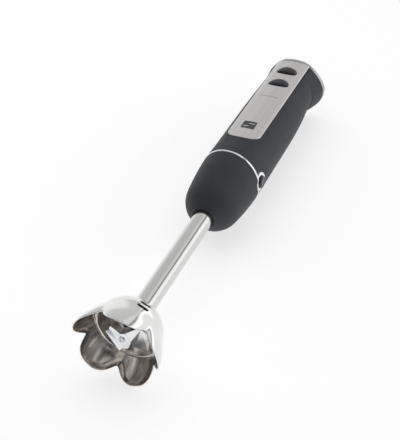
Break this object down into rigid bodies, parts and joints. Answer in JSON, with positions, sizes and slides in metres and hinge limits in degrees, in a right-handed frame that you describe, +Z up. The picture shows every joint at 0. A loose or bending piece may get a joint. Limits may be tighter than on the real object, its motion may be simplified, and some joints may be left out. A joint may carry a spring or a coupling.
{
  "type": "immersion blender",
  "caption": "Cordless hand blender: soft-touch handle with a brushed steel face plate and speed buttons, detachable steel shaft, lobed bell guard and spinning blade.",
  "frame": {"origin": "middle of the footprint, on the table, with the blender lying on its back", "axes": "+X along the drive axis from the bell to the end cap, +Z up out of the face plate"},
  "size_m": [0.3694, 0.0698, 0.0708],
  "materials": {
    "soft_touch": "soft-touch coating, satin",
    "plate_steel": "brushed along the plate",
    "polished_steel": "polished stainless steel",
    "trim_silver": "satin chrome",
    "blade_steel": "ground steel",
    "button_black": "moulded, semi-gloss",
    "inner_plastic": "moulded",
    "end_plastic": "fine texture",
    "seal_rubber": "smooth",
    "spring_steel": "drawn wire and strip",
    "zinc_steel": "zinc plated",
    "shaft_steel": "ground bar",
    "bronze": "sintered",
    "copper": "enamelled wire",
    "core_steel": "laminated",
    "magnet": "ferrite",
    "carbon": "carbon",
    "coupling_plastic": "acetal",
    "board_green": "solder mask",
    "component_dark": "moulded",
    "plunger_red": "moulded",
    "cell_sleeve": "film sleeve",
    "nickel": "spot welded strip"
  },
  "bodies": {
    "handle": {"rear_casing": "soft_touch", "face_plate": "plate_steel", "front_carrier": "inner_plastic", "button_gaskets": "seal_rubber", "low_speed_spring": "spring_steel", "turbo_spring": "spring_steel", "switch_cases": "component_dark", "control_board": "board_green", "board_components": "component_dark", "battery_cells": "cell_sleeve", "cell_links": "nickel", "battery_holder": "inner_plastic", "end_trim_ring": "trim_silver", "end_cap": "end_plastic", "charging_socket": "component_dark", "casing_screws": "zinc_steel", "trim_ring": "trim_silver", "release_spring_left": "spring_steel", "release_spring_right": "spring_steel", "arm_socket": "inner_plastic", "coupling_seal": "seal_rubber", "motor_mount": "zinc_steel", "damper_ring": "seal_rubber", "motor_screws": "zinc_steel", "motor_can": "zinc_steel", "motor_magnets": "magnet", "motor_end_bell": "inner_plastic", "motor_bearings": "bronze", "motor_brushes": "carbon"},
    "low_speed_key": {"low_speed_button": "button_black", "low_speed_plunger": "plunger_red"},
    "turbo_key": {"turbo_button": "button_black", "turbo_plunger": "plunger_red"},
    "left_release": {"release_button_left": "button_black", "latch_hook_left": "spring_steel"},
    "right_release": {"release_button_right": "button_black", "latch_hook_right": "spring_steel"},
    "rotor": {"motor_shaft": "shaft_steel", "armature_core": "core_steel", "armature_windings": "copper", "commutator": "copper", "drive_coupling": "coupling_plastic"},
    "blending_arm": {"arm_housing": "soft_touch", "arm_collar": "inner_plastic", "tube_clamp": "zinc_steel", "shaft_tube": "polished_steel", "bell_guard": "polished_steel", "guard_ring": "polished_steel", "bearing_housing": "zinc_steel", "lower_bushing": "bronze", "upper_bushing": "bronze", "shaft_seal": "seal_rubber"},
    "blade_group": {"drive_shaft": "shaft_steel", "driven_coupling": "inner_plastic", "shaft_clip": "spring_steel", "blade": "blade_steel", "blade_collar": "shaft_steel"}
  },
  "joints": [
    {"name": "arm_release", "type": "slide", "parent": "handle", "child": "blending_arm", "axis": [-1, 0, 0], "range_m": [0, 0.06], "deforming": ["latch_hook_left", "latch_hook_right"]},
    {"name": "motor_spin", "type": "hinge", "parent": "handle", "child": "rotor", "pos_m": [0.0687, 0.00103, 0.03509], "axis": [1, 0, 0], "continuous": true},
    {"name": "blade_spin", "type": "hinge", "parent": "blending_arm", "child": "blade_group", "pos_m": [-0.0813, 0.00103, 0.03509], "axis": [1, 0, 0], "continuous": true},
    {"name": "low_speed_press", "type": "slide", "parent": "handle", "child": "low_speed_key", "axis": [0, 0, -1], "range_m": [0, 0.0015], "stiffness_N_per_m": 500, "springref_m": -0.002, "deforming": ["low_speed_spring"]},
    {"name": "turbo_press", "type": "slide", "parent": "handle", "child": "turbo_key", "axis": [0, 0, -1], "range_m": [0, 0.0015], "stiffness_N_per_m": 500, "springref_m": -0.002, "deforming": ["turbo_spring"]},
    {"name": "left_release_press", "type": "slide", "parent": "handle", "child": "left_release", "axis": [0, -1, 0], "range_m": [0, 0.0012], "stiffness_N_per_m": 800, "springref_m": -0.002, "deforming": ["release_spring_left", "latch_hook_left"]},
    {"name": "right_release_press", "type": "slide", "parent": "handle", "child": "right_release", "axis": [0, 1, 0], "range_m": [0, 0.0012], "stiffness_N_per_m": 800, "springref_m": -0.002, "deforming": ["release_spring_right", "latch_hook_right"]}
  ],
  "couplings": [
    {"joint": "blade_spin", "follows": "motor_spin", "ratio": 1}
  ]
}
